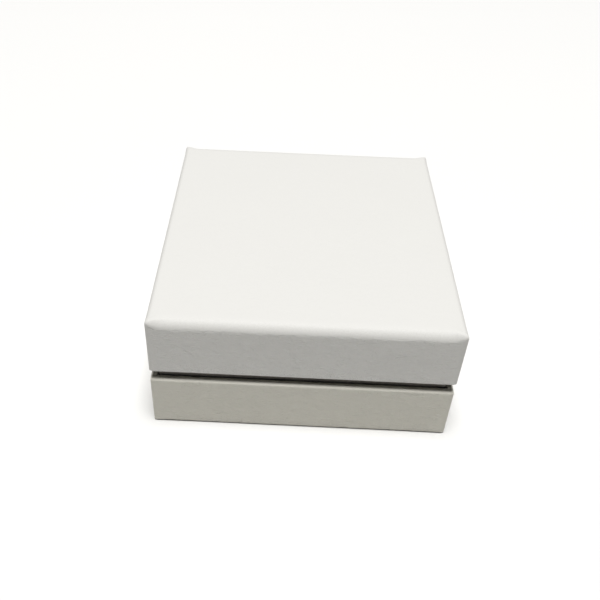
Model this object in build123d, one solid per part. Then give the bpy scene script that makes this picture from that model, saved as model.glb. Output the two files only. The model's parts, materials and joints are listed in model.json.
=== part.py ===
"""A square jewellery gift box in three lift-apart groups.

The base is a greyboard tray in a paper wrap, with a neck glued inside it. The neck stands
proud of the base, guides the lid and carries the lid's ceiling, so a dark band of neck
stays in view between the two trays. A covered foam pad lies inside the neck.

Millimetres, +Z up, origin at the middle of the underside, front of the box towards -Y.
"""

from build123d import *
import os

# The closed box, outside
SIDE = 90.0  # width and depth
BASE_HEIGHT = 19.3
REVEAL = 3.5  # band of neck left in view between the base and the lid
LID_HEIGHT = 20.7

# Boards and papers
BOARD = 1.5  # greyboard of both trays
NECK_BOARD = 1.2
PAPER = 0.2  # any wrapping or lining paper, with its glue
STAY = 0.1  # tape that holds a tray's corner together, pressed flush into the board
NECK_FIT = 0.3  # gap between the neck and the trays' inside faces
TURN_IN = 14.0  # how far a wrap is turned over the rim and down the inside
TURN_UNDER = 12.0  # how far the base's wrap is turned under its floor
BOTTOM_SHEET_MARGIN = 2.0  # how far the bottom sheet stays inside the base's edges
NECK_WRAP_LOW = 6.0  # where the neck's wrap begins on its outside, above the tray floor

# Edge rounding, outside, with the wrap on
CORNER_ROUND = 1.0  # upright corners of both trays
LID_TOP_ROUND = 3.0
BASE_FOOT_ROUND = 1.0
RIM_ROUND = 0.8
LIP_ROUND = 0.5  # inside edge of a tray's rim
INNER_CORNER = 0.5  # upright corners inside the trays and the neck
NECK_CORNER = 0.8
NECK_TOP_ROUND = 0.4

# Corner stays
STAY_REACH = 10.0  # along each wall from the corner
STAY_MARGIN = 3.2  # below the rim and above the foot of the board

# Lift-out pad
PAD_GAP = 0.6  # between the pad and the neck all round
VELVET = 0.5
PAD_BOARD = 1.0
PAD_FOAM = 20.0
PAD_ROUND = 2.5  # top edge, with the velvet on
PAD_CORNER = 2.0
PAD_TURN_UNDER = 8.0
RING_SLIT = 26.0  # length of the slit that holds a ring
CHAIN_SLIT = 12.0  # length of the two slits that hold a chain
CHAIN_SLIT_PLACE = 29.0  # middle of each chain slit, from both centre lines
SLIT_DEPTH = 12.0
SLIT_WIDTH = 1.2  # left open between the velvet lips

# Ribbon for lifting the pad
RIBBON_WIDTH = 10.0
RIBBON = 0.25
RIBBON_TOP = 14.0  # lies on the top of the pad, from its front edge
RIBBON_FOOT = 1.0  # the ribbon's low end, above the underside of the pad

# Pad in the lid
LID_PAD_SIDE = 78.8
LID_PAD_CARD = 0.8
LID_PAD_FOAM = 2.2
LID_PAD_VELVET = 0.4
LID_PAD_ROUND = 1.8
LID_PAD_TURN_OVER = 6.0

# Levels and sizes that follow
HEIGHT = BASE_HEIGHT + REVEAL + LID_HEIGHT
BOARD_SIDE = SIDE - 2 * PAPER
BOARD_INSIDE = BOARD_SIDE - 2 * BOARD
CLEAR_INSIDE = BOARD_INSIDE - 2 * PAPER
FLOOR_TOP = 2 * PAPER + BOARD  # on a bottom sheet and the turned-under wrap
LID_CEILING = HEIGHT - PAPER - BOARD
NECK_TOP = LID_CEILING - PAPER  # the lid's lining rests on the neck
NECK_OUTSIDE = CLEAR_INSIDE - 2 * NECK_FIT
NECK_INSIDE = NECK_OUTSIDE - 2 * NECK_BOARD - 4 * PAPER
PAD_FLOOR = FLOOR_TOP + PAPER
PAD_SIDE = NECK_INSIDE - 2 * PAD_GAP
PAD_CORE = PAD_SIDE - 2 * VELVET
PAD_FOAM_LOW = PAD_FLOOR + VELVET + PAD_BOARD
PAD_TOP = PAD_FOAM_LOW + PAD_FOAM + VELVET
CUT_PAST = 1.0  # how far a cutting tool runs past the face that it opens

CORNERS = {
    "front_left": (-1, -1),
    "front_right": (1, -1),
    "back_right": (1, 1),
    "back_left": (-1, 1),
}


def prism(side, low, high, corner=0.0):
    """A square prism on the middle axis, with rounded upright edges."""
    middle = Align.CENTER
    solid = Pos(0, 0, low) * Box(side, side, high - low, align=(middle, middle, Align.MIN))
    if corner > 0:
        solid = fillet(solid.edges().filter_by(Axis.Z), corner)
    return solid


def rounded_block(side, low, high, corner, low_round=0.0, high_round=0.0):
    """A prism whose bottom and top edges may be rounded too."""
    solid = prism(side, low, high, corner)
    if high_round > 0:
        solid = fillet(solid.faces().sort_by(Axis.Z)[-1].edges(), high_round)
    if low_round > 0:
        solid = fillet(solid.faces().sort_by(Axis.Z)[0].edges(), low_round)
    return solid


def open_box(block, inside, floor, rim, inner_corner, lip_round):
    """A block hollowed from its rim down to a floor, with the inside of the rim rounded."""
    solid = block - prism(inside, floor, rim + CUT_PAST, inner_corner)
    rim_face = solid.faces().sort_by(Axis.Z)[-1]
    return fillet(rim_face.inner_wires()[0].edges(), lip_round)


def corner_stay(side, low, high, round_outside, corner):
    """Tape bent round one upright corner of a square board, flush with its outside."""
    skin = prism(side, low, high, round_outside)
    skin -= prism(side - 2 * STAY, low - CUT_PAST, high + CUT_PAST, round_outside - STAY)
    middle = (side - STAY_REACH) / 2
    reach = Pos(corner[0] * middle, corner[1] * middle, (low + high) / 2)
    return skin & (reach * Box(STAY_REACH, STAY_REACH, high - low))


# Trays. Both are made rim up, standing on zero. The lid is the mirror image of such a tray.


def tray_core(foot, rim, foot_round):
    """The greyboard tray before its corners are recessed for the stays."""
    block = rounded_block(
        BOARD_SIDE, foot, rim, CORNER_ROUND - PAPER, foot_round - PAPER, RIM_ROUND - PAPER
    )
    return open_box(block, BOARD_INSIDE, foot + BOARD, rim, INNER_CORNER, LIP_ROUND - PAPER)


def tray_board(core, stays):
    """The greyboard tray: one blank, scored, folded up and taped at its corners."""
    for stay in stays:
        core = core - stay
    return core


def tray_wrap(core, foot, rim, foot_round):
    """Paper over the outside of a tray, over its rim and down the inside."""
    block = rounded_block(SIDE, foot, rim, CORNER_ROUND, foot_round, RIM_ROUND)
    floor = foot + PAPER + BOARD
    shape = open_box(block, CLEAR_INSIDE, floor, rim, INNER_CORNER - PAPER, LIP_ROUND)
    bare_wall = prism(BOARD_INSIDE, floor, rim - TURN_IN, INNER_CORNER)
    return shape - core - bare_wall


def tray_pieces(name, foot, height, foot_round):
    """The board, the four stays and the wrap of one tray, rim up."""
    board_foot = foot + PAPER
    board_rim = height - PAPER
    core = tray_core(board_foot, board_rim, foot_round)
    low = board_foot + STAY_MARGIN
    high = board_rim - STAY_MARGIN
    stays = {
        f"{name}_stay_{place}": corner_stay(BOARD_SIDE, low, high, CORNER_ROUND - PAPER, corner)
        for place, corner in CORNERS.items()
    }
    pieces = {f"{name}_board": tray_board(core, stays.values())}
    pieces.update(stays)
    pieces[f"{name}_wrap"] = tray_wrap(core, foot, height, foot_round)
    return pieces


def base_pieces():
    """The base tray, its wrap turned under the floor, and the sheet that covers the turn."""
    pieces = tray_pieces("base", PAPER, BASE_HEIGHT, BASE_FOOT_ROUND)
    window = prism(SIDE - 2 * TURN_UNDER, 0, 2 * PAPER)
    pieces["base_wrap"] -= window
    sheet = prism(SIDE - 2 * BOTTOM_SHEET_MARGIN, 0, PAPER, CORNER_ROUND)
    pieces["base_bottom_sheet"] = sheet + window
    pieces["floor_lining"] = prism(NECK_INSIDE, FLOOR_TOP, PAD_FLOOR, INNER_CORNER - PAPER)
    return pieces


def lid_pieces():
    """The lid tray turned over onto its level, with its ceiling lining and its pad."""
    pieces = {
        name: Pos(0, 0, HEIGHT) * mirror(solid, about=Plane.XY)
        for name, solid in tray_pieces("lid", 0, LID_HEIGHT, LID_TOP_ROUND).items()
    }
    pieces["lid_lining"] = prism(CLEAR_INSIDE, NECK_TOP, LID_CEILING, INNER_CORNER - PAPER)
    pieces.update(lid_pad_pieces())
    return pieces


# The neck, made from one strip folded into a square


def neck_core():
    """The strip of board, folded into a square and standing on the tray floor."""
    outside = NECK_OUTSIDE - 2 * PAPER
    inside = NECK_INSIDE + 2 * PAPER
    top = NECK_TOP - PAPER
    tube = prism(outside, FLOOR_TOP, top, NECK_CORNER - PAPER)
    return tube - prism(inside, FLOOR_TOP - CUT_PAST, top + CUT_PAST, INNER_CORNER)


def neck_wrap(core):
    """Dark paper down the outside of the neck, over its top and down its inside."""
    block = rounded_block(NECK_OUTSIDE, FLOOR_TOP, NECK_TOP, NECK_CORNER, 0, NECK_TOP_ROUND)
    below = FLOOR_TOP - CUT_PAST
    above = NECK_TOP + CUT_PAST
    tube = block - prism(NECK_INSIDE, below, above, INNER_CORNER - PAPER)
    rim_face = tube.faces().sort_by(Axis.Z)[-1]
    tube = fillet(rim_face.inner_wires()[0].edges(), NECK_TOP_ROUND)
    wrap_low = FLOOR_TOP + NECK_WRAP_LOW
    bare = prism(SIDE, below, wrap_low)
    bare -= prism(NECK_OUTSIDE - 2 * PAPER, below, wrap_low, NECK_CORNER - PAPER)
    return tube - core - bare


def neck_pieces():
    """The strip, the tape where its two ends meet at a corner, and its wrap."""
    core = neck_core()
    low = FLOOR_TOP + STAY_MARGIN
    high = NECK_TOP - STAY_MARGIN
    side = NECK_OUTSIDE - 2 * PAPER
    stay = corner_stay(side, low, high, NECK_CORNER - PAPER, CORNERS["back_left"])
    return {"neck_board": core - stay, "neck_stay": stay, "neck_wrap": neck_wrap(core)}


# The lift-out pad


def slits(width, length_added, depth):
    """One slit across the middle for a ring, and one across each back corner for a chain."""
    ring = Pos(0, 0, PAD_TOP) * Box(RING_SLIT + length_added, width, 2 * depth)
    chain = Box(CHAIN_SLIT + length_added, width, 2 * depth)
    left = Pos(-CHAIN_SLIT_PLACE, CHAIN_SLIT_PLACE, PAD_TOP) * Rot(0, 0, 45) * chain
    right = Pos(CHAIN_SLIT_PLACE, CHAIN_SLIT_PLACE, PAD_TOP) * Rot(0, 0, -45) * chain
    return ring + left + right


def pad_foam():
    """A block of firm foam, slit where the velvet is tucked in."""
    core_corner = PAD_CORNER - VELVET
    top = PAD_TOP - VELVET
    block = rounded_block(PAD_CORE, PAD_FOAM_LOW, top, core_corner, 0, PAD_ROUND - VELVET)
    return block - slits(SLIT_WIDTH + 2 * VELVET, 2 * VELVET, SLIT_DEPTH + VELVET)


def pad_velvet(foam, board):
    """Velvet over the foam, tucked into the slits and turned under the board."""
    skin = rounded_block(PAD_SIDE, PAD_FLOOR, PAD_TOP, PAD_CORNER, 0, PAD_ROUND)
    skin -= prism(PAD_SIDE - 2 * PAD_TURN_UNDER, PAD_FLOOR, PAD_FLOOR + VELVET)
    return skin - foam - board - slits(SLIT_WIDTH, 0, SLIT_DEPTH)


def pull_ribbon():
    """A ribbon up the front of the pad and over its top edge, to lift it by."""
    low = PAD_FLOOR + RIBBON_FOOT
    high = PAD_TOP + RIBBON
    side = PAD_SIDE + 2 * RIBBON
    over = rounded_block(side, low, high, PAD_CORNER + RIBBON, 0, PAD_ROUND + RIBBON)
    under = rounded_block(PAD_SIDE, low - CUT_PAST, PAD_TOP, PAD_CORNER, 0, PAD_ROUND)
    front = -side / 2
    reach = Pos(0, front + RIBBON_TOP / 2, (low + high) / 2)
    return (over - under) & (reach * Box(RIBBON_WIDTH, RIBBON_TOP, high - low))


def pad_pieces():
    board = prism(PAD_CORE, PAD_FLOOR + VELVET, PAD_FOAM_LOW, PAD_CORNER - VELVET)
    foam = pad_foam()
    return {
        "pad_board": board,
        "pad_foam": foam,
        "pad_velvet": pad_velvet(foam, board),
        "pull_ribbon": pull_ribbon(),
    }


def lid_pad_pieces():
    """A thin cushion on the lid's ceiling: card, foam and a velvet cover."""
    core = LID_PAD_SIDE - 2 * LID_PAD_VELVET
    card_top = NECK_TOP - LID_PAD_VELVET
    foam_top = card_top - LID_PAD_CARD
    foam_low = foam_top - LID_PAD_FOAM
    low = foam_low - LID_PAD_VELVET
    core_corner = PAD_CORNER - LID_PAD_VELVET
    core_round = LID_PAD_ROUND - LID_PAD_VELVET
    card = prism(core, foam_top, card_top, core_corner)
    foam = rounded_block(core, foam_low, foam_top, core_corner, core_round, 0)
    cover = rounded_block(LID_PAD_SIDE, low, NECK_TOP, PAD_CORNER, LID_PAD_ROUND, 0)
    cover -= prism(LID_PAD_SIDE - 2 * LID_PAD_TURN_OVER, card_top, NECK_TOP)
    return {
        "lid_pad_card": card,
        "lid_pad_foam": foam,
        "lid_pad_velvet": cover - foam - card,
    }


def main():
    os.makedirs("parts", exist_ok=True)
    pieces = base_pieces() | neck_pieces() | pad_pieces() | lid_pieces()
    for name, solid in pieces.items():
        export_step(solid, f"parts/{name}.step")
    print(f"{len(pieces)} pieces, {SIDE} x {SIDE} x {HEIGHT} mm")


if __name__ == "__main__":
    main()
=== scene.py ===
import json
import math

import bmesh
import bpy
import numpy as np
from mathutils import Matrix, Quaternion, Vector, noise
from mathutils.bvhtree import BVHTree


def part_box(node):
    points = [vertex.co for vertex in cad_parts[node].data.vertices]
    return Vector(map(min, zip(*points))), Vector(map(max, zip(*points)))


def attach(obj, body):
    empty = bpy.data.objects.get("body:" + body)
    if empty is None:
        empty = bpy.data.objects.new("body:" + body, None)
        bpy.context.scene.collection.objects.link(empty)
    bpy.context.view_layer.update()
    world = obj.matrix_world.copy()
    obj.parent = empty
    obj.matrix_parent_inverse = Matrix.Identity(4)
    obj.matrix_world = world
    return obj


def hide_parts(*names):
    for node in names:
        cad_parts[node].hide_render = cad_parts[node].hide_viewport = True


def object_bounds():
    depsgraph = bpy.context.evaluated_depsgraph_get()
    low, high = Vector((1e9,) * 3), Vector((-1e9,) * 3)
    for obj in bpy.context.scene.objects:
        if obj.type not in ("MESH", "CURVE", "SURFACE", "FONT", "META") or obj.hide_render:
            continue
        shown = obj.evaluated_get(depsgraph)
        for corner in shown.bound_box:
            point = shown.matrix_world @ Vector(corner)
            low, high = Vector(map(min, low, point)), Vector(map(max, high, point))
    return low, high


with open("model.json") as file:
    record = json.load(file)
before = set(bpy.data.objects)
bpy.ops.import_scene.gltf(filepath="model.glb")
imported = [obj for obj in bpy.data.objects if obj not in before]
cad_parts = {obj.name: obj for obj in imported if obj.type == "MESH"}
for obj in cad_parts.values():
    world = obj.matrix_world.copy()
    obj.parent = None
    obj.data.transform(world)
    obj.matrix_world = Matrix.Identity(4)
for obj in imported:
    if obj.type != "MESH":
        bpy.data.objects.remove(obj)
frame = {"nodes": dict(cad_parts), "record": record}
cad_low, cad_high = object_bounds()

MM = 0.001
SIDE = (cad_high - cad_low).x  # width and depth of the box

# The camera, set to the photograph's viewing angle
EYE = (-0.0087, -0.1816, 0.1905)
LOOKS_AT = (-0.0110, 0.0445, 0.0220)
ROLL_DEG = 2.19
LENS_MM = 43.23
SENSOR_MM = 36.0
SHIFT = (0.0417, -0.1733)
CLIP_START = 0.005

# Stage
FLOOR_REACH = 3.0
FLOOR_SIDES = 96
OVERHEAD = (0.02, -0.33, 3.6)
OVERHEAD_SIZE = 1.5
OVERHEAD_POWER = 206.0
ROOM_OVER = 0.01  # strengths of the room's light: high up, and low down at the front and back
ROOM_FRONT = 0.26
ROOM_BACK = 0.6

# Colours, linear. Where there are two, a surface's tone varies from one to the other
PAPER = (0.558, 0.551, 0.527), (0.564, 0.557, 0.533)
PAPER_SOIL_AND_SHADE = (0.45, 0.44, 0.415)  # along the handled edges and bends: real soiling, and painted shade that dims the light on the rounded bends
NO_TINT = (1, 1, 1)
BASE_CREAM_AND_SHADE = (0.975, 0.960, 0.890)  # the base's paper is a little creamier than the lid's, and a little darker: painted shade that sets how bright the base's front looks beside the lid's
DARK_PAPER = (0.130, 0.119, 0.107), (0.198, 0.183, 0.165)
DARK_PAPER_RUBBED = (0.30, 0.285, 0.262)
GREYBOARD = (0.24, 0.225, 0.205), (0.36, 0.34, 0.31)
KRAFT_TAPE = (0.33, 0.21, 0.12), (0.42, 0.28, 0.16)
PAD_CARD = (0.04, 0.04, 0.04), (0.06, 0.06, 0.06)
FOAM_CELL_AND_SHADE = (0.055, 0.055, 0.057), (0.012, 0.012, 0.013)  # from a cell's middle to its edge; the dark edge tone is painted shade for the cells' hollows
VELVET = (0.60, 0.57, 0.52), (0.76, 0.73, 0.68)
VELVET_SHEEN = (0.95, 0.92, 0.88, 1)
SATIN = (0.15, 0.139, 0.128), (0.34, 0.32, 0.298)
FLOOR_TONES = (0.668, 0.664, 0.652), (0.656, 0.652, 0.640)

# Relief of the wrapping paper
RELIEF_DEPTH = 1.0 * MM
END_RELIEF = 0.1  # share of it left on a tray's closed end, which is pressed flatter
WORN_RELIEF = 0.2  # share of it left on a worn edge

# Wrapping paper as it really lies on the trays
CORNER_RADIUS = 0.7 * MM  # upright corners
# The edge between the closed end and the sides: at the front and back, at the left and right,
# and at a corner, where the folded paper makes it sharper
LID_EDGES = (3.0 * MM, 1.7 * MM, 1.5 * MM)
BASE_EDGES = (0.7 * MM, 0.7 * MM, 0.5 * MM)
EAR_REACH = 3.5 * MM  # how far from a corner the edge is sharper
EAR_HEIGHT = 0.12 * MM  # how far the folded paper stands up at a corner
EAR_SIZE = 1.5 * MM
RIM_RADIUS = 0.6 * MM
LIP_RADIUS = 0.3 * MM
LID_WALL = 1.9 * MM  # board and both layers of paper
BASE_WALL = 2.1 * MM  # with the glue that holds the neck
SKIN = 0.2 * MM  # paper and glue
TURN_IN = 14.0 * MM
TURN_UNDER = 12.0 * MM
FLAP_REACH = 11.0 * MM  # how far the side panels' flaps run on under the front and back panels
FLAP_END = 1.0 * MM  # over which the flap's thickness fades
CUT_EDGE = 0.35 * MM  # how far from the corner the front and back panels are cut

# How far the paper lies inside the nominal surface
LIES_IN = 0.04 * MM
UNDER_LAYER = 0.09 * MM  # deeper where the front and back panels don't cover it
FLAP_SHOWS = 0.03 * MM  # less deep over a flap
BOW = 0.03 * MM  # deeper in the middle of a side, towards its open end
MITRE = 0.04 * MM  # deeper at the corners of the rim
AT_CORNER = 0.05 * MM  # how near its arc the rim counts as a corner
WAVES = 0.02 * MM
LONG_WAVE = 17 * MM
SHORT_WAVE = 6 * MM
CORNER_WEAR = 0.6 * MM  # how far the wear reaches from the upright corners

# Rings of samples along a tray's paper: in mm from the side, on a closed end that it covers or is
# only turned under, and as shares of the way up the side and down inside it
COVERED_END = (43.6, 38, 32, 26, 20, 15, 11, 8, 6, 4.8, 3.9)
TURNED_UNDER_END = (TURN_UNDER / MM, 10, 7, 4.6, 2.8)
SIDE_SHARES = (0.03, 0.08, 0.16, 0.26, 0.36, 0.46, 0.56, 0.66, 0.76, 0.86, 0.94, 0.98)
TURN_IN_SHARES = (0.1, 0.3, 0.6, 1.0)
END_BEND_STEPS = 8
RIM_BEND_STEPS = 6
LIP_BEND_STEPS = 5

# Neck
NECK_WALL = 1.6 * MM
NECK_CORNER = 0.8 * MM
NECK_TOP_ROUND = 0.4 * MM
NECK_WRAP_LOW = 6.0 * MM
NECK_STEPS = 13
SEAM_REACH = 3.1 * MM  # how far round the back left corner the paper overlaps itself
SEAM_SHOWS = 0.06 * MM
NECK_BOW = 0.02 * MM

# Velvet pad
PAD_CORNER = 2.2 * MM
PAD_ROUND = 2.6 * MM
PAD_FOOT_ROUND = 0.4 * MM
PAD_SHY = 0.25 * MM  # how much smaller the cover starts before it is puffed
PAD_VOXEL = 1.9 * MM
PAD_CAP = Vector((0.12, 0.12, 0.75)) * MM  # how far it may move
PAD_FOOT = 3 * MM  # height of the band that is held at the foot
SLITS = (  # middle, direction in degrees, length
    ((0.0, 0.0), 0.0, 26.0 * MM),
    ((-29.0 * MM, 29.0 * MM), 45.0, 12.0 * MM),
    ((29.0 * MM, 29.0 * MM), -45.0, 12.0 * MM),
)
SLIT_WIDTH = 1.1 * MM
SLIT_DEPTH = 11.5 * MM
SLIT_STEPS = 8  # in half of a slit's length
SLIT_POINT = 5  # the power that narrows a slit towards its ends
SLIT_HOLD = 1.5 * MM  # the velvet is held this near a slit
SLIT_HOLD_DEPTH = 2 * MM  # and down to this depth
BLADE_ABOVE = 2 * MM  # how far a slit's blade stands above what it cuts
TUCK_DEPTH = 1.5 * MM  # the dip where the velvet is drawn into a slit
TUCK_WIDTH = 2.4 * MM
RIPPLE = 0.12 * MM
RIPPLE_SIZE = 9 * MM
TOP_BAND = 3 * MM  # the dips and ripples begin this far below the top
TOP_FADE = 2 * MM  # and grow over this height

# Foam block in the pad
FOAM_SHY = Vector((0.5, 0.5, 2.0)) * MM  # clear of the cover and its dips
FOAM_CORNER = 1.7 * MM
FOAM_ROUND = 3.2 * MM
FOAM_FOOT_ROUND = 0.2 * MM
FOAM_SLIT_WIDTH = SLIT_WIDTH + 1.0 * MM
FOAM_SLIT_DEPTH = SLIT_DEPTH + 0.5 * MM

# Cushion in the lid
CUSHION_CORNER = 2.0 * MM
CUSHION_ROUND = 1.7 * MM
CUSHION_BACK_ROUND = 0.3 * MM
CUSHION_SHY = Vector((0.2, 0.2, 0.0)) * MM  # how much smaller it starts all round
CUSHION_THINNER = Vector((0, 0, 0.15)) * MM  # how much thinner it starts
CUSHION_VOXEL = 1.3 * MM
CUSHION_CAP = Vector((0.1, 0.1, 0.45)) * MM
CUSHION_BACK = 0.9 * MM  # held this near the lid
CUSHION_CROWN = 0.5 * MM  # the most that it may hang below its box
CUSHION_RIPPLE = 0.1 * MM
CUSHION_RIPPLE_SIZE = 11 * MM
CUSHION_FADE = 1.5 * MM

# Cloth
CLOTH_PRESSURE = 4.0
CLOTH_STIFFNESS = 8
CLOTH_BENDING = 0.3
CLOTH_FRAMES = 20

# Ribbon
RIBBON_THICK = 0.22 * MM
SELVEDGE = 0.7 * MM
SELVEDGE_THICKER = 1.25
RIBBON_CLEAR = 0.03 * MM + 0.6 * RIBBON_THICK  # of its middle plane, off the velvet
RIBBON_LIFT = 0.45 * MM  # how far its free end stands off the velvet
RIBBON_LIFT_REACH = 4 * MM
RIBBON_CUP = 0.05 * MM  # how far its two edges curl up
RIBBON_TWIST = 0.1 * MM  # how far its free end is turned to one side
RIBBON_TWIST_REACH = 5 * MM
RIBBON_LIES = 11.0 * MM  # its length on top of the pad
RIBBON_NOTCH = 3.0 * MM  # the V cut into its free end
RIBBON_PROBE = 3 * MM  # how far out the velvet under it is looked for

# Edges sharper than this, in degrees, are shaded sharp
PAPER_SHARP = 38
VELVET_SHARP = 50
RIBBON_SHARP = 60

collection = bpy.context.scene.collection


# ---------------------------------------------------------------- small helpers


def smooth(t):
    t = np.clip(t, 0.0, 1.0)
    return t * t * (3 - 2 * t)


def unevenness(places, size, seed):
    """Smooth noise from -1 to 1 at each place, with features about size across."""
    shift = Vector((seed, 2.7 * seed, 5.1 * seed))
    return np.array([noise.noise(Vector(p) / size + shift) for p in places])


def quarter_turn(steps):
    """Cosine and sine from 0 to 90 degrees, in equal steps."""
    turns = [math.pi / 2 * i / steps for i in range(steps + 1)]
    return [(math.cos(turn), math.sin(turn)) for turn in turns]


def bands(first, n, rows):
    """Faces between closed rows of n points each; first is the first point's index."""
    faces = []
    for start in range(first, first + (rows - 1) * n, n):
        for i in range(n):
            j = (i + 1) % n
            faces.append((start + i, start + j, start + n + j, start + n + i))
    return faces


def new_object(name, vertices, faces, uvs=None, wear_and_shade=None):
    """A mesh object; uvs holds one pair for each corner of each face, in order."""
    mesh = bpy.data.meshes.new(name)
    mesh.from_pydata([tuple(v) for v in vertices], [], faces)
    if wear_and_shade is not None:
        attribute = mesh.attributes.new("wear_and_shade", "FLOAT", "POINT")
        attribute.data.foreach_set("value", np.asarray(wear_and_shade, np.float32).ravel())
    if uvs is not None:
        layer = mesh.uv_layers.new(name="sheet")
        layer.data.foreach_set("uv", np.asarray(uvs, np.float32).ravel())
    made = bpy.data.objects.new(name, mesh)
    collection.objects.link(made)
    return made


def close_normals(thing):
    """Turns every face of a closed mesh outwards."""
    work = bmesh.new()
    work.from_mesh(thing.data)
    bmesh.ops.recalc_face_normals(work, faces=work.faces)
    work.to_mesh(thing.data)
    work.free()


def shade(thing, sharp_deg):
    for face in thing.data.polygons:
        face.use_smooth = True
    thing.data.set_sharp_from_angle(angle=math.radians(sharp_deg))


def points(mesh):
    found = np.empty(len(mesh.vertices) * 3)
    mesh.vertices.foreach_get("co", found)
    return found.reshape(-1, 3)


def move_points(thing, places):
    thing.data.vertices.foreach_set("co", places.ravel())
    thing.data.update()


def evaluated(thing):
    """The mesh as its modifiers leave it."""
    graph = bpy.context.evaluated_depsgraph_get()
    return bpy.data.meshes.new_from_object(thing.evaluated_get(graph), depsgraph=graph)


def apply_modifiers(thing):
    made = evaluated(thing)
    thing.modifiers.clear()
    old = thing.data
    thing.data = made
    bpy.data.meshes.remove(old)


class Nodes:
    """Short ways to add nodes to a tree. A value is a number, a colour or a node's output."""

    def __init__(self, tree):
        self.tree = tree

    def put(self, socket, value):
        if isinstance(value, bpy.types.NodeSocket):
            self.tree.links.new(value, socket)
        else:
            socket.default_value = value

    def add(self, kind, inputs=(), **settings):
        node = self.tree.nodes.new(kind)
        for key, value in settings.items():
            setattr(node, key, value)
        for key, value in dict(inputs).items():
            self.put(node.inputs[key], value)
        return node

    def coordinates(self, kind):
        return self.add("ShaderNodeTexCoord").outputs[kind]

    def axes(self, vector):
        """The outputs X, Y and Z of a vector."""
        return self.add("ShaderNodeSeparateXYZ", {0: vector}).outputs

    def spread(self, value, low, high, from_low=0.25, from_high=0.75, **settings):
        """Maps a value onto low to high."""
        inputs = {0: value, 1: from_low, 2: from_high, 3: low, 4: high}
        return self.add("ShaderNodeMapRange", inputs, **settings).outputs[0]


class Finish(Nodes):
    """A material with one Principled surface."""

    def __init__(self, name, **sockets):
        self.material = bpy.data.materials.new(name)
        self.material.use_nodes = True
        super().__init__(self.material.node_tree)
        self.tree.nodes.clear()
        self.surface = self.add("ShaderNodeBsdfPrincipled")
        self.add("ShaderNodeOutputMaterial", {"Surface": self.surface.outputs[0]})
        for socket, value in sockets.items():
            self.put(self.surface.inputs[socket.replace("_", " ")], value)

    def where(self, kind="Object", stretch=(1, 1, 1)):
        """Texture coordinates, stretched."""
        inputs = {"Vector": self.coordinates(kind), "Scale": stretch}
        return self.add("ShaderNodeMapping", inputs).outputs[0]

    def noise(self, place, scale=1.0, detail=2.0, rough=0.5, distortion=0.0):
        inputs = {
            "Vector": place,
            "Scale": scale,
            "Detail": detail,
            "Roughness": rough,
            "Distortion": distortion,
        }
        return self.add("ShaderNodeTexNoise", inputs).outputs["Fac"]

    def maths(self, operation, a, b=0.0):
        return self.add("ShaderNodeMath", {0: a, 1: b}, operation=operation).outputs[0]

    def blend(self, a, b, share_of_b):
        """A number between a and b."""
        kept = self.maths("MULTIPLY", a, 1 - share_of_b)
        return self.maths("ADD", kept, self.maths("MULTIPLY", b, share_of_b))

    def mix(self, share, a, b):
        """A colour between a and b, each of them an output or three numbers."""
        node = self.add("ShaderNodeMix", {0: share}, data_type="RGBA")
        sockets = [socket for socket in node.inputs if socket.type == "RGBA"]
        for socket, colour in zip(sockets, (a, b)):
            self.put(socket, (*colour, 1) if isinstance(colour, tuple) else colour)
        return next(socket for socket in node.outputs if socket.type == "RGBA")

    def bump(self, height, depth, strength=1.0, under=None):
        inputs = {"Height": height, "Distance": depth, "Strength": strength}
        if under is not None:
            inputs["Normal"] = under
        return self.add("ShaderNodeBump", inputs).outputs[0]

    def attribute(self, name):
        return self.add("ShaderNodeAttribute", attribute_name=name).outputs["Fac"]

    def colour(self, value):
        self.put(self.surface.inputs["Base Color"], value)

    def rough(self, value):
        self.put(self.surface.inputs["Roughness"], value)

    def normal(self, value):
        self.put(self.surface.inputs["Normal"], value)


# ---------------------------------------------------------------- materials


def tinted(colour, tint):
    return tuple(a * b for a, b in zip(colour, tint))


def wrap_paper(name, tint=NO_TINT, kind="UV", unit=1.0):
    """White embossed paper: wavy wrinkles that run along the sheet, and a fine tooth.

    unit is the number of mm in one unit of the coordinates.
    """
    made = Finish(name, IOR=1.45, Specular_IOR_Level=0.3)

    def place(across, along):
        return made.where(kind, (across * unit, along * unit, unit))

    wrinkles = made.noise(place(0.32, 0.76), distortion=1.2)
    tooth = made.noise(place(1.7, 2.9), detail=3.0, rough=0.6, distortion=0.3)
    mottle = made.noise(place(0.045, 0.06))
    relief = made.blend(wrinkles, tooth, 0.28)
    tone = made.spread(made.blend(relief, mottle, 0.4), 0.0, 1.0, 0.35, 0.65)
    paper = made.mix(tone, *(tinted(colour, tint) for colour in PAPER))
    # Darker along the bends and near the upright corners: partly real soiling from handling,
    # partly painted shade that dims the brighter light on the rounded bends.
    wear_and_shade = made.attribute("wear_and_shade")
    soil_and_shade = made.maths("MULTIPLY", wear_and_shade, made.spread(tooth, 0.0, 0.45, 0.4, 0.7))
    made.colour(made.mix(soil_and_shade, paper, tinted(PAPER_SOIL_AND_SHADE, tint)))
    made.rough(made.spread(tooth, 0.52, 0.68))
    end_on = made.maths("ABSOLUTE", made.axes(made.coordinates("Normal"))["Z"])
    pressed = made.spread(end_on, 1.0, END_RELIEF, 0.03, 0.5)
    unworn = made.spread(wear_and_shade, 1.0, WORN_RELIEF, 0.0, 0.6)
    made.normal(made.bump(relief, RELIEF_DEPTH, made.maths("MULTIPLY", pressed, unworn)))
    return made.material


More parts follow.
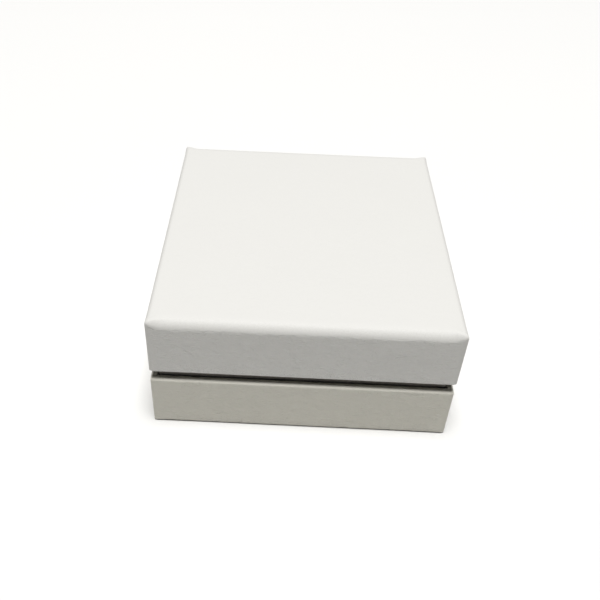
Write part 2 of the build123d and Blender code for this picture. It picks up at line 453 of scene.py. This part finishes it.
def dark_paper(name, kind="UV", unit=1.0):
    """Dark grey-brown lining paper with short fibres, rubbed paler along its folds."""
    made = Finish(name, IOR=1.45, Specular_IOR_Level=0.28)
    along = made.where(kind, (0.9 * unit, 3.4 * unit, unit))
    fibres = made.noise(along, detail=4.0, rough=0.6, distortion=0.6)
    clouds = made.noise(made.where(kind, (0.12 * unit, 0.1 * unit, unit)))
    tone = made.spread(made.blend(fibres, clouds, 0.2), 0, 1, 0.35, 0.65)
    patches = made.spread(clouds, 0.05, 0.35, 0.3, 0.7)
    rubbed = made.maths("MULTIPLY", made.attribute("wear_and_shade"), patches)
    made.colour(made.mix(rubbed, made.mix(tone, *DARK_PAPER), DARK_PAPER_RUBBED))
    made.rough(made.spread(fibres, 0.5, 0.7))
    made.normal(made.bump(fibres, 0.04 * MM, 0.8))
    return made.material


def plain(name, tones, scale, depth):
    """A matt fibrous stock, as greyboard, card or tape, with flecks."""
    made = Finish(name, Specular_IOR_Level=0.2)
    grain = made.noise(made.where(), scale, detail=5.0, rough=0.65)
    flecks = made.noise(made.where(), scale * 0.35, detail=1.0)
    stock = made.mix(made.spread(grain, 0, 1, 0.3, 0.7), *tones)
    fleck = tuple(0.6 * c for c in tones[0])
    made.colour(made.mix(made.spread(flecks, 0.0, 0.7, 0.66, 0.72), stock, fleck))
    made.rough(made.spread(grain, 0.75, 0.9))
    made.normal(made.bump(grain, depth))
    return made.material


def foam_block(name):
    """Open-celled dark foam, with painted shade darkening each cell towards its edge."""
    made = Finish(name, Roughness=0.95, Specular_IOR_Level=0.1)
    cells = made.add("ShaderNodeTexVoronoi", {"Vector": made.where(), "Scale": 1700.0})
    depth = cells.outputs["Distance"]
    # Painted shade: darker towards each cell's edge, for the hollows of the open cells.
    made.colour(made.mix(made.spread(depth, 0, 1, 0.1, 0.6), *FOAM_CELL_AND_SHADE))
    made.normal(made.bump(depth, 0.25 * MM, 0.8))
    return made.material


def velvet_cloth(name):
    """Ivory velvet: a short pile, paler at a glancing angle and brushed in patches."""
    sheen = {"Sheen_Weight": 0.4, "Sheen_Roughness": 0.35, "Sheen_Tint": VELVET_SHEEN}
    made = Finish(name, Specular_IOR_Level=0.08, **sheen)
    streaks = made.where("Object", (55, 80, 60))
    brushed = made.noise(streaks, detail=3.0, rough=0.55, distortion=1.2)
    pile = made.noise(made.where("Object", (2600, 1900, 2600)), rough=0.7)
    tone = made.spread(made.blend(brushed, pile, 0.3), 0, 1, 0.36, 0.64)
    made.colour(made.mix(tone, *VELVET))
    made.rough(made.spread(pile, 0.82, 0.98))
    soft = made.bump(brushed, 0.25 * MM, 0.35)
    made.normal(made.bump(pile, 0.12 * MM, 0.6, soft))
    return made.material


def satin_ribbon(name):
    """Grey-brown double-faced satin; the coordinates are mm across and along it."""
    made = Finish(name, Specular_IOR_Level=0.55, Sheen_Weight=0.25, Sheen_Roughness=0.3)
    floats = made.noise(made.where("UV", (14.0, 1.6, 1)), rough=0.6)
    picks = {"Vector": made.where("UV", (0, 1, 1)), "Scale": 1.9}
    across = made.add("ShaderNodeTexWave", picks, bands_direction="Y").outputs["Fac"]
    weave = made.maths("ADD", floats, made.maths("MULTIPLY", across, 0.35))
    made.colour(made.mix(made.spread(weave, 0, 1, 0.35, 0.95), *SATIN))
    made.rough(made.spread(floats, 0.26, 0.42))
    made.normal(made.bump(weave, 0.05 * MM, 0.8))
    return made.material


# ---------------------------------------------------------------- wrapped trays

# The four sides seen from above, anticlockwise from the front: along each side, and out of it
ALONG = np.array([(1, 0), (0, 1), (-1, 0), (0, -1)], float)
OUT = np.array([(0, -1), (1, 0), (0, 1), (-1, 0)], float)
# Samples of a side, in mm from where the corner's arc ends, and steps in that arc
FROM_CORNER = [0, 0.12, CUT_EDGE / MM, CUT_EDGE / MM + 0.03, 0.55, 0.9, 1.4, 2.1, 3.0, 4.2, 5.8]
FROM_CORNER += [8.0, 10.0, 10.5, 11.0, 13.0, 17.0, 22.0, 28.0, 35.0]
ARC_STEPS = 6


class Round:
    """Sample points round a square with rounded corners, at any inset from its outside."""

    def __init__(self, half, corner):
        self.half = half
        self.corner = corner
        reach = half - corner
        one_end = [1 - d * MM / reach for d in FROM_CORNER]
        shares = [-f for f in one_end] + [0.0] + one_end[::-1]
        arcs = [math.pi / 2 * i / ARC_STEPS for i in range(1, ARC_STEPS)]
        self.side = np.array([k for k in range(4) for _ in range(len(shares) + len(arcs))])
        self.share = np.array((shares + [1.0] * len(arcs)) * 4)
        self.angle = np.array(([0.0] * len(shares) + arcs) * 4)
        self.is_arc = np.array(([False] * len(shares) + [True] * len(arcs)) * 4)
        self.count = len(self.side)
        # along the side from where the corner's arc ends
        self.from_corner = np.where(self.is_arc, 0.0, (1 - np.abs(self.share)) * reach)

    def corner_at(self, inset):
        return self.corner * np.exp(-inset / self.corner)

    def place(self, inset):
        """x and y of each sample; inset is one number for each."""
        corner = self.corner_at(inset)
        reach = self.half - inset - corner
        along = self.share * reach + corner * np.sin(self.angle)
        out = reach + corner * np.cos(self.angle)
        return ALONG[self.side] * along[:, None] + OUT[self.side] * out[:, None]

    def sheet(self, index, side, inset, unrolled):
        """Where a sample lies on the flat sheet, in mm, for a face on that side."""
        i = index % self.count
        corner = self.corner_at(inset[i])
        reach = self.half - inset[i] - corner
        quarter = math.pi / 2
        own = self.side[i]
        if own == side:
            along = self.share[i] * reach + corner * self.angle[i]
        elif (own + 1) % 4 == side:
            along = -reach - corner * (quarter - self.angle[i])
        else:
            along = reach + corner * quarter
        return (ALONG[side] * along + OUT[side] * unrolled[i]) / MM

    def face_side(self, i):
        """The side whose panel a face between samples i and i + 1 is on."""
        a = i % self.count
        b = (i + 1) % self.count
        if self.is_arc[a] or self.is_arc[b]:
            return self.side[a] if self.side[a] % 2 else (self.side[a] + 1) % 4
        return self.side[a]


class Rings:
    """Rings of a sheet wrapped round a square, listed in order along the sheet.

    Each ring holds, for every sample of the line, how far it is inset from the outside, how
    deep it is from the first end, and which way the paper faces: out of the side, and out of
    the end.
    """

    def __init__(self, line):
        self.line = line
        self.inset = []
        self.depth = []
        self.facing = []

    def add(self, inset, depth, out=0.0, end=0.0):
        ones = np.ones(self.line.count)
        self.inset.append(inset * ones)
        self.depth.append(depth * ones)
        self.facing.append((out, end))

    def bend(self, inset, depth, radius, start, steps):
        """A quarter bend; start is the direction faced at its beginning, in degrees."""
        for i in range(steps + 1):
            turn = math.radians(start - 90 * i / steps)
            out = math.cos(turn)
            end = math.sin(turn)
            self.add(inset + radius * (1 - out), depth + radius * (1 - end), out, end)

    def rise(self, inset, from_depth, to_depth, shares, out):
        for share in shares:
            self.add(inset, from_depth + (to_depth - from_depth) * share, out)


def tray_rings(line, height, edges, wall, end_steps):
    """Down from the closed end, over the rim, in, and back along the side glued to the board.

    wall is how thick the tray's side is, and end_steps says where the rings on the closed end
    lie.
    """
    rings = Rings(line)
    along_side = np.where(line.side % 2 == 0, edges[0], edges[1])
    radius = edges[2] + (along_side - edges[2]) * smooth(line.from_corner / EAR_REACH)
    for step in end_steps:
        rings.add(step * MM, 0, 0, 1)
    rings.bend(0, 0, radius, 90, END_BEND_STEPS)
    rings.rise(0, radius, height - RIM_RADIUS, SIDE_SHARES, 1)
    rings.bend(0, height - 2 * RIM_RADIUS, RIM_RADIUS, 0, RIM_BEND_STEPS)
    for cos, sin in quarter_turn(LIP_BEND_STEPS):
        rings.add(wall - LIP_RADIUS * (1 - sin), height - LIP_RADIUS * (1 - cos), -sin, -cos)
    rings.rise(wall, height - LIP_RADIUS, height - TURN_IN, TURN_IN_SHARES, -1)
    rings.add(wall - SKIN, height - TURN_IN)
    rings.add(wall - SKIN, height - LIP_RADIUS)
    rings.add(wall - LIP_RADIUS, height - SKIN)
    rings.add(RIM_RADIUS, height - SKIN)
    rings.add(SKIN, height - RIM_RADIUS)
    rings.add(SKIN, radius + 2 * SKIN)
    rings.add(radius + 2 * SKIN, SKIN)
    for step in reversed(end_steps):
        rings.add(step * MM, SKIN)
    return rings


def neck_rings(line, height):
    """Up the outside of the neck, over its top, down its inside, and back along the board."""
    rings = Rings(line)
    low = height - NECK_WRAP_LOW
    shares = [i / NECK_STEPS for i in range(NECK_STEPS + 1)]
    rings.rise(0, low, NECK_TOP_ROUND, shares, 1)
    for cos, sin in quarter_turn(LIP_BEND_STEPS)[1:]:
        rings.add(NECK_TOP_ROUND * (1 - cos), NECK_TOP_ROUND * (1 - sin), cos, sin)
    rings.add(NECK_WALL / 2, 0, 0, 1)
    for cos, sin in quarter_turn(LIP_BEND_STEPS):
        inset = NECK_WALL - NECK_TOP_ROUND * (1 - sin)
        rings.add(inset, NECK_TOP_ROUND * (1 - cos), -sin, cos)
    rings.rise(NECK_WALL, NECK_TOP_ROUND, height, shares[1:], -1)
    rings.add(NECK_WALL - SKIN, height)
    rings.add(NECK_WALL - SKIN, SKIN)
    rings.add(SKIN, SKIN)
    rings.add(SKIN, low)
    return rings


def tray_relief(line, rings, height):
    """How far a tray's paper stands out from its nominal surface, ring by ring: never above 0."""
    on_panel = (line.side % 2 == 0) & ~line.is_arc
    covered = on_panel & (line.from_corner > CUT_EDGE + 0.01 * MM)
    over_flap = 1 - smooth((line.from_corner - FLAP_REACH + FLAP_END) / FLAP_END)
    corner = line.is_arc | (line.from_corner < AT_CORNER)
    relief = []
    for inset, depth, (out, end) in zip(rings.inset, rings.depth, rings.facing):
        here = -LIES_IN * np.ones(line.count)
        outside = max(out, 0.0)
        here -= UNDER_LAYER * outside * ~covered
        here += FLAP_SHOWS * outside * covered * over_flap
        here -= BOW * outside * np.cos(line.share * math.pi / 2) * smooth(depth / height)
        if end < 0:
            here -= MITRE * corner
        if end > 0:
            ear = np.exp(-((line.from_corner / EAR_SIZE) ** 2) - (inset / EAR_SIZE) ** 2)
            here += EAR_HEIGHT * end * ear
        relief.append(np.minimum(here, 0))
    return relief


def neck_relief(line, rings):
    """The neck's paper, with the strip's seam just round its back left corner."""
    seam = (line.side == 2) & ~line.is_arc & (line.share > 0) & (line.from_corner < SEAM_REACH)
    relief = []
    for out, _ in rings.facing:
        here = -LIES_IN * np.ones(line.count)
        here -= SEAM_SHOWS * ~seam * max(out, 0.0)
        here -= NECK_BOW * np.cos(line.share * math.pi / 2) * max(out, 0.0)
        relief.append(here)
    return relief


def wrapped_sheet(name, line, rings, relief, start, way, seed, closed):
    """A sheet of paper; start is the level of depth 0, and way is -1 if depth runs down.

    closed says whether the last ring joins the first. If not, each of them is filled in.
    """
    layers = []
    sheets = []
    wear_and_shade = []
    unrolled = line.half - rings.inset[0]
    for number, (inset, depth, facing) in enumerate(zip(rings.inset, rings.depth, rings.facing)):
        if number:
            step = np.hypot(inset - rings.inset[number - 1], depth - rings.depth[number - 1])
            unrolled = unrolled + step
        out, end = facing
        moved = np.zeros(line.count)
        if out or end:
            nominal = np.c_[line.place(inset), start + way * depth]
            long_waves = unevenness(nominal, LONG_WAVE, seed)
            waves = long_waves + 0.5 * unevenness(nominal, SHORT_WAVE, seed + 3)
            moved = relief[number] + WAVES * (waves - 1)
        level = start + way * (depth - end * moved)
        layers.append(np.c_[line.place(inset - out * moved), level])
        sheets.append((inset, unrolled))
        # Mask for wear and painted shade: 1 on the bends and near the upright corners. The white
        # paper is darkened there, partly as painted shade; the neck's paper is rubbed paler
        # there.
        bent = abs(out * end) * 2
        near_corner = np.exp(-line.from_corner / CORNER_WEAR)
        upright = np.where(line.is_arc, 1.0, near_corner) * (out > 0)
        wear_and_shade.append(np.clip(bent + upright, 0, 1))
    return loft(name, line, layers, sheets, wear_and_shade, closed)


def loft(name, line, layers, sheets, wear_and_shade, closed):
    """Joins rings of samples into one closed mesh, with the flat sheet as its UV map."""
    n = line.count
    faces = []
    uvs = []
    pairs = [(r, r + 1) for r in range(len(layers) - 1)]
    if closed:
        pairs.append((len(layers) - 1, 0))
    for a, b in pairs:
        for i in range(n):
            j = (i + 1) % n
            faces.append((a * n + i, a * n + j, b * n + j, b * n + i))
            side = line.face_side(i)
            for index, r in ((i, a), (i + 1, a), (i + 1, b), (i, b)):
                uvs.append(line.sheet(index, side, *sheets[r]))
    if not closed:
        for r in (0, len(layers) - 1):
            faces.append(tuple(r * n + i for i in range(n)))
            uvs += [layers[r][i][:2] / MM for i in range(n)]
    made = new_object(name, np.vstack(layers), faces, uvs, np.concatenate(wear_and_shade))
    close_normals(made)
    shade(made, PAPER_SHARP)
    return made


def tray_paper(name, foot, rim, edges, wall, covered, seed):
    """The wrap of one tray. foot and rim are the levels of its closed end and its open one.

    covered says whether the paper covers the whole of the closed end.
    """
    line = Round(SIDE / 2, CORNER_RADIUS)
    height = abs(rim - foot)
    end_steps = COVERED_END if covered else TURNED_UNDER_END
    rings = tray_rings(line, height, edges, wall, end_steps)
    relief = tray_relief(line, rings, height)
    way = 1 if rim > foot else -1
    return wrapped_sheet(name, line, rings, relief, foot, way, seed, not covered)


def neck_paper(name, low, high, seed):
    line = Round(high.x, NECK_CORNER)
    rings = neck_rings(line, high.z - low.z)
    relief = neck_relief(line, rings)
    return wrapped_sheet(name, line, rings, relief, high.z, -1, seed, True)


# ---------------------------------------------------------------- velvet and foam


def block(name, low, high, corner, low_round, high_round):
    """A closed square block with rounded corners and edges."""
    line = Round(high.x, corner)
    turns = quarter_turn(6)
    levels = [(low_round * (1 - sin), low.z + low_round * (1 - cos)) for cos, sin in turns]
    levels += [(high_round * (1 - cos), high.z - high_round * (1 - sin)) for cos, sin in turns]
    n = line.count
    layers = [np.c_[line.place(np.full(n, inset)), np.full(n, z)] for inset, z in levels]
    faces = bands(0, n, len(layers))
    faces.append(tuple(range(n)))
    faces.append(tuple((len(layers) - 1) * n + i for i in range(n)))
    made = new_object(name, np.vstack(layers), faces)
    close_normals(made)
    return made


def swell(thing, held, cap):
    """Swells a closed cover by cloth simulation, no further than cap along each axis."""
    start = points(thing.data)
    pins = thing.vertex_groups.new(name="held")
    for index in np.flatnonzero(held(start)):
        pins.add([int(index)], 1.0, "REPLACE")
    cloth = thing.modifiers.new("cloth", "CLOTH")
    cloth.settings.vertex_group_mass = pins.name
    cloth.settings.use_pressure = True
    cloth.settings.uniform_pressure_force = CLOTH_PRESSURE
    cloth.settings.effector_weights.gravity = 0
    cloth.settings.tension_stiffness = CLOTH_STIFFNESS
    cloth.settings.compression_stiffness = CLOTH_STIFFNESS
    cloth.settings.bending_stiffness = CLOTH_BENDING
    for frame_number in range(1, CLOTH_FRAMES + 1):
        bpy.context.scene.frame_set(frame_number)
    swollen = evaluated(thing)
    moved = points(swollen) - start
    thing.modifiers.clear()
    bpy.data.meshes.remove(swollen)
    bpy.context.scene.frame_set(1)
    furthest = np.abs(moved).max(axis=0)
    move_points(thing, start + moved * np.minimum(1.0, np.array(cap) / furthest))
    thing.vertex_groups.clear()


def puff(thing, voxel, held, cap):
    """Makes a block into a padded cover; held picks the points that stay where they are."""
    remesh = thing.modifiers.new("remesh", "REMESH")
    remesh.mode = "VOXEL"
    remesh.voxel_size = voxel
    apply_modifiers(thing)
    swell(thing, held, cap)
    smoother = thing.modifiers.new("smoother", "SUBSURF")
    smoother.levels = smoother.render_levels = 1
    apply_modifiers(thing)


def slit_axes(direction_deg):
    """Unit vectors along a slit and across it."""
    turn = math.radians(direction_deg)
    along = np.array((math.cos(turn), math.sin(turn)))
    across = np.array((-math.sin(turn), math.cos(turn)))
    return along, across


def slit_distance(places):
    """Distance in plan of each place from the nearest slit."""
    nearest = np.full(len(places), np.inf)
    for middle, direction, length in SLITS:
        along, across = slit_axes(direction)
        away = places[:, :2] - np.array(middle)
        past = np.maximum(np.abs(away @ along) - length / 2, 0)
        nearest = np.minimum(nearest, np.hypot(past, away @ across))
    return nearest


def cut_slits(thing, top, width, depth):
    """Cuts the slits with narrow closed blades with pointed ends."""
    shares = [-1 + i / SLIT_STEPS for i in range(2 * SLIT_STEPS + 1)]
    outline = [(s, (1 - abs(s) ** SLIT_POINT) * width / 2) for s in shares]
    outline += [(s, -w) for s, w in outline[-2:0:-1]]
    n = len(outline)
    vertices = []
    faces = []
    for middle, direction, length in SLITS:
        along, across = slit_axes(direction)
        first = len(vertices)
        for z in (top - depth, top + BLADE_ABOVE):
            for s, w in outline:
                flat = np.array(middle) + along * s * length / 2 + across * w
                vertices.append((*flat, z))
        faces.append(tuple(first + i for i in range(n)))
        faces.append(tuple(first + n + i for i in range(n)))
        faces += bands(first, n, 2)
    blades = new_object("slit_blades", vertices, faces)
    close_normals(blades)
    cut = thing.modifiers.new("cut", "BOOLEAN")
    cut.object = blades
    cut.operation = "DIFFERENCE"
    cut.solver = "EXACT"
    apply_modifiers(thing)
    bpy.data.objects.remove(blades)


def pad_cover(name, low, high):
    """Velvet over the foam block, tucked into three slits."""
    start_low = low + Vector((PAD_SHY, PAD_SHY, 0))
    start_high = high - Vector((PAD_SHY, PAD_SHY, PAD_SHY))
    cover = block(name, start_low, start_high, PAD_CORNER, PAD_FOOT_ROUND, PAD_ROUND)

    def held(places):
        foot = places[:, 2] < low.z + PAD_FOOT
        near_top = places[:, 2] > high.z - SLIT_HOLD_DEPTH
        return foot | (near_top & (slit_distance(places) < SLIT_HOLD))

    puff(cover, PAD_VOXEL, held, PAD_CAP)
    places = points(cover.data)
    on_top = smooth((places[:, 2] - high.z + TOP_BAND) / TOP_FADE)
    dip = TUCK_DEPTH * np.exp(-((slit_distance(places) / TUCK_WIDTH) ** 2))
    ripple = RIPPLE * (unevenness(places, RIPPLE_SIZE, 7.0) - 1)
    places[:, 2] += on_top * (ripple - dip)
    move_points(cover, places)
    cut_slits(cover, high.z, SLIT_WIDTH, SLIT_DEPTH)
    shade(cover, VELVET_SHARP)
    return cover


def foam_core(name, low, high):
    """The foam block inside the cover, with its own wider slits."""
    start_low = low + Vector((FOAM_SHY.x, FOAM_SHY.y, 0))
    core = block(name, start_low, high - FOAM_SHY, FOAM_CORNER, FOAM_FOOT_ROUND, FOAM_ROUND)
    cut_slits(core, high.z, FOAM_SLIT_WIDTH, FOAM_SLIT_DEPTH)
    shade(core, VELVET_SHARP)
    return core


def cushion(name, low, high):
    """The lid's cushion, crowned downwards."""
    start_low = low + CUSHION_SHY + CUSHION_THINNER
    start_high = high - CUSHION_SHY
    rounds = CUSHION_ROUND, CUSHION_BACK_ROUND
    cover = block(name, start_low, start_high, CUSHION_CORNER, *rounds)

    def held(places):
        return places[:, 2] > high.z - CUSHION_BACK

    puff(cover, CUSHION_VOXEL, held, CUSHION_CAP)
    places = points(cover.data)
    hanging = smooth((high.z - places[:, 2] - CUSHION_FADE) / CUSHION_FADE)
    places[:, 2] += hanging * CUSHION_RIPPLE * unevenness(places, CUSHION_RIPPLE_SIZE, 9.0)
    places[:, 2] = np.clip(places[:, 2], low.z - CUSHION_CROWN, high.z)
    move_points(cover, places)
    shade(cover, VELVET_SHARP)
    return cover


# ---------------------------------------------------------------- ribbon


def ribbon_path(low, high, pad_low, pad_high):
    """Points in the middle plane as (y, z), and which way the ribbon faces there."""
    front = pad_low.y
    top = pad_high.z
    path = [((front, z), (-1, 0)) for z in np.linspace(low.z, top - PAD_ROUND, 12)]
    for cos, sin in quarter_turn(12)[1:-1]:
        y = front + PAD_ROUND - PAD_ROUND * cos
        z = top - PAD_ROUND + PAD_ROUND * sin
        path.append(((y, z), (-cos, sin)))
    path += [((y, top), (0, 1)) for y in np.linspace(front + PAD_ROUND, high.y, 18)]
    return path


def velvet_under(path, cover, half):
    """How far the velvet stands out from each point of the path, evened out along it."""
    tree = BVHTree.FromObject(cover, bpy.context.evaluated_depsgraph_get())
    furthest = []
    for (y, z), (out_y, out_z) in path:
        out = Vector((0, out_y, out_z))
        row = []
        for x in (-half, -half / 2, 0, half / 2, half):
            place = Vector((x, y, z))
            hit = tree.ray_cast(place + out * RIBBON_PROBE, -out)[0]
            row.append((hit - place).dot(out) if hit else 0.0)
        furthest.append(max(row))
    return np.convolve(np.pad(furthest, 2, "edge"), np.ones(5) / 5, "valid")


def ribbon_faces(rows, n):
    """The two faces of the ribbon, each of rows by n points, and the edge that joins them."""
    count = rows * n
    faces = []
    for r in range(rows - 1):
        for i in range(n - 1):
            face = (r * n + i, r * n + i + 1, (r + 1) * n + i + 1, (r + 1) * n + i)
            faces.append(face)
            faces.append(tuple(count + v for v in reversed(face)))
    around = list(range(n)) + [r * n + n - 1 for r in range(1, rows)]
    around += [(rows - 1) * n + i for i in range(n - 2, -1, -1)]
    around += [r * n for r in range(rows - 2, 0, -1)]
    for a, b in zip(around, around[1:] + around[:1]):
        faces.append((a, b, count + b, count + a))
    return faces


def ribbon_pull(name, low, high, cover, pad_low, pad_high):
    """A satin ribbon up the pad's front and over its top edge, lying on the velvet.

    Its length is returned with it.
    """
    half = (high.x - low.x) / 2
    across = [-half, -half + SELVEDGE, -half + SELVEDGE * 1.2, -half * 0.5, -half * 0.25, 0]
    across += [-x for x in reversed(across[:-1])]
    path = ribbon_path(low, high, pad_low, pad_high)
    under = velvet_under(path, cover, half)
    length = np.cumsum([0] + [math.dist(a[0], b[0]) for a, b in zip(path, path[1:])])
    vertices = []
    flat = []
    for face_of_ribbon in (1, -1):
        for ((y, z), (out_y, out_z)), velvet, run in zip(path, under, length):
            left = length[-1] - run
            lift = RIBBON_LIFT * math.exp(-((left / RIBBON_LIFT_REACH) ** 2))
            twist = RIBBON_TWIST * math.exp(-((left / RIBBON_TWIST_REACH) ** 2))
            notch = RIBBON_NOTCH * max(0.0, 1 - left / RIBBON_LIES) ** 2
            middle = velvet + RIBBON_CLEAR + lift
            for x in across:
                share = x / half
                at_edge = abs(x) > half - 1.1 * SELVEDGE
                thick = RIBBON_THICK * (SELVEDGE_THICKER if at_edge else 1.0) / 2
                off = middle + RIBBON_CUP * share**2 + twist * share + face_of_ribbon * thick
                cut = notch * (1 - abs(share))
                vertices.append((x, y + out_y * off - cut, z + out_z * off))
                flat.append((x / MM, (run - cut) / MM))
    faces = ribbon_faces(len(path), len(across))
    made = new_object(name, vertices, faces, [flat[v] for face in faces for v in face])
    close_normals(made)
    shade(made, RIBBON_SHARP)
    return made, float(length[-1])


# ---------------------------------------------------------------- camera, floor and lights


def aim(thing, place, target):
    """Puts a camera or a light in the scene at a place, pointing at a target."""
    thing.location = place
    thing.rotation_mode = "QUATERNION"
    thing.rotation_quaternion = (Vector(target) - Vector(place)).to_track_quat("-Z", "Y")
    collection.objects.link(thing)


def make_camera():
    lens = bpy.data.cameras.new("camera")
    lens.lens = LENS_MM
    lens.sensor_width = SENSOR_MM
    lens.shift_x, lens.shift_y = SHIFT
    lens.clip_start = CLIP_START
    camera = bpy.data.objects.new("camera", lens)
    aim(camera, EYE, LOOKS_AT)
    roll = Quaternion((0, 0, 1), math.radians(ROLL_DEG))
    camera.rotation_quaternion = camera.rotation_quaternion @ roll
    bpy.context.scene.camera = camera


def make_floor():
    turns = [2 * math.pi * i / FLOOR_SIDES for i in range(FLOOR_SIDES)]
    edge = [(FLOOR_REACH * math.cos(t), FLOOR_REACH * math.sin(t), 0) for t in turns]
    floor = new_object("floor", edge, [tuple(range(FLOOR_SIDES))])
    pale = Finish("pale_floor", Roughness=0.9, Specular_IOR_Level=0.1)
    haze = pale.noise(pale.where("Object", (2, 2, 2)))
    pale.colour(pale.mix(pale.spread(haze, 0, 1), *FLOOR_TONES))
    floor.data.materials.append(pale.material)


def make_light():
    """One large round light over the box, a little in front of it."""
    lamp = bpy.data.lights.new("overhead", "AREA")
    lamp.shape = "DISK"
    lamp.size = OVERHEAD_SIZE
    lamp.energy = OVERHEAD_POWER
    aim(bpy.data.objects.new("overhead", lamp), OVERHEAD, (0, 0, 0))


def make_room():
    """A dim room with a pale backdrop low down, palest at the back."""
    world = bpy.data.worlds.new("soft_room")
    world.use_nodes = True
    made = Nodes(world.node_tree)
    way = made.axes(made.coordinates("Generated"))
    eased = {"interpolation_type": "SMOOTHSTEP"}
    backdrop = made.spread(way["Y"], ROOM_FRONT, ROOM_BACK, -0.5, 0.8, **eased)
    strength = made.spread(way["Z"], backdrop, ROOM_OVER, 0.02, 0.3, **eased)
    background = made.tree.nodes["Background"]
    made.put(background.inputs["Strength"], strength)
    made.put(background.inputs["Color"], (1, 1, 1, 1))
    bpy.context.scene.world = world


# ---------------------------------------------------------------- the box

make_camera()
make_floor()
make_light()
make_room()
bpy.context.scene.view_settings.view_transform = "Standard"
bpy.context.scene.view_settings.look = "None"

lid_white = wrap_paper("lid_wrap_paper")
# The base's copy of the paper is creamier and carries painted shade, a little darker than the
# lid's.
base_white = wrap_paper("base_wrap_paper", BASE_CREAM_AND_SHADE)
dark_sheet = dark_paper("neck_paper")
ivory_velvet = velvet_cloth("velvet")
brown_satin = satin_ribbon("ribbon")
dark_foam = foam_block("foam")
FINISHES = {
    "wrap_paper": wrap_paper("bottom_paper", BASE_CREAM_AND_SHADE, "Object", 1 / MM),
    "dark_paper": dark_paper("lining_paper", "Object", 1 / MM),
    "greyboard": plain("greyboard", GREYBOARD, 900, 0.05 * MM),
    "kraft_tape": plain("kraft_tape", KRAFT_TAPE, 700, 0.02 * MM),
    "pad_card": plain("pad_card", PAD_CARD, 900, 0.02 * MM),
    "foam": dark_foam,
    "velvet": ivory_velvet,
    "ribbon": brown_satin,
}


def finish(piece, material):
    piece.data.materials.clear()
    piece.data.materials.append(material)


def fit(piece, material, body, node):
    """Finishes a piece and puts it in the place of a CAD node."""
    finish(piece, material)
    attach(piece, body)
    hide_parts(node)


for entry in frame["record"]["subparts"]:
    finish(frame["nodes"][entry["node"]], FINISHES[entry["material_slot"]])

lid_low, lid_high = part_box("lid_wrap")
lid_paper = tray_paper("lid_paper", lid_high.z, lid_low.z, LID_EDGES, LID_WALL, True, 1.0)
fit(lid_paper, lid_white, "lid", "lid_wrap")

base_low, base_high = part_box("base_wrap")
base_paper = tray_paper("base_paper", base_low.z, base_high.z, BASE_EDGES, BASE_WALL, False, 2.0)
fit(base_paper, base_white, "base", "base_wrap")

neck_cover = neck_paper("neck_cover", *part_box("neck_wrap"), 5.0)
fit(neck_cover, dark_sheet, "base", "neck_wrap")

pad_low, pad_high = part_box("pad_velvet")
velvet_pad = pad_cover("velvet_pad", pad_low, pad_high)
fit(velvet_pad, ivory_velvet, "pad", "pad_velvet")

pad_core = foam_core("pad_core", *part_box("pad_foam"))
fit(pad_core, dark_foam, "pad", "pad_foam")

ribbon_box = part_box("pull_ribbon")
ribbon, ribbon_length = ribbon_pull("ribbon_pull", *ribbon_box, velvet_pad, pad_low, pad_high)
fit(ribbon, brown_satin, "pad", "pull_ribbon")

lid_cushion = cushion("lid_cushion", *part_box("lid_pad_velvet"))
fit(lid_cushion, ivory_velvet, "lid", "lid_pad_velvet")
